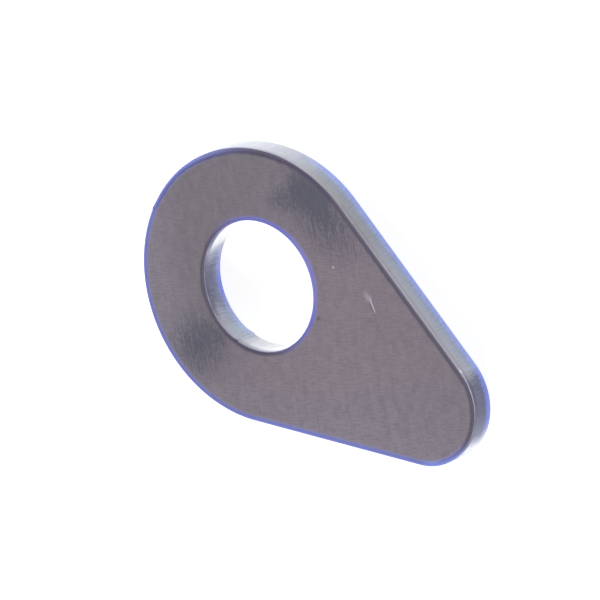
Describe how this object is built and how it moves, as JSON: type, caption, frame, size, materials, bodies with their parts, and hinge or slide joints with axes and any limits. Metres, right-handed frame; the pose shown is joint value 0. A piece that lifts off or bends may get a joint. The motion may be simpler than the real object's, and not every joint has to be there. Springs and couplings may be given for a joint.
{
  "type": "weld washer",
  "caption": "Flat teardrop steel plate with a bolt hole in its wide round end, welded onto a bracket to give a worn or slotted bolt hole a fresh, true bore.",
  "frame": {"origin": "on the bolt hole's axis, at the lower face, which is the one that is welded down", "axes": "+Z along the hole's axis, up through the plate; +X from the hole towards the narrow end; +Y across the plate"},
  "size_m": [0.0446, 0.03, 0.003],
  "materials": {
    "steel": "bare rolled sheet steel with a fine grain, dark smudges of mill scale, heat-tinted rims and cut walls with fine beam striations"
  },
  "bodies": {
    "root": {"weld_washer": "steel"}
  },
  "joints": []
}
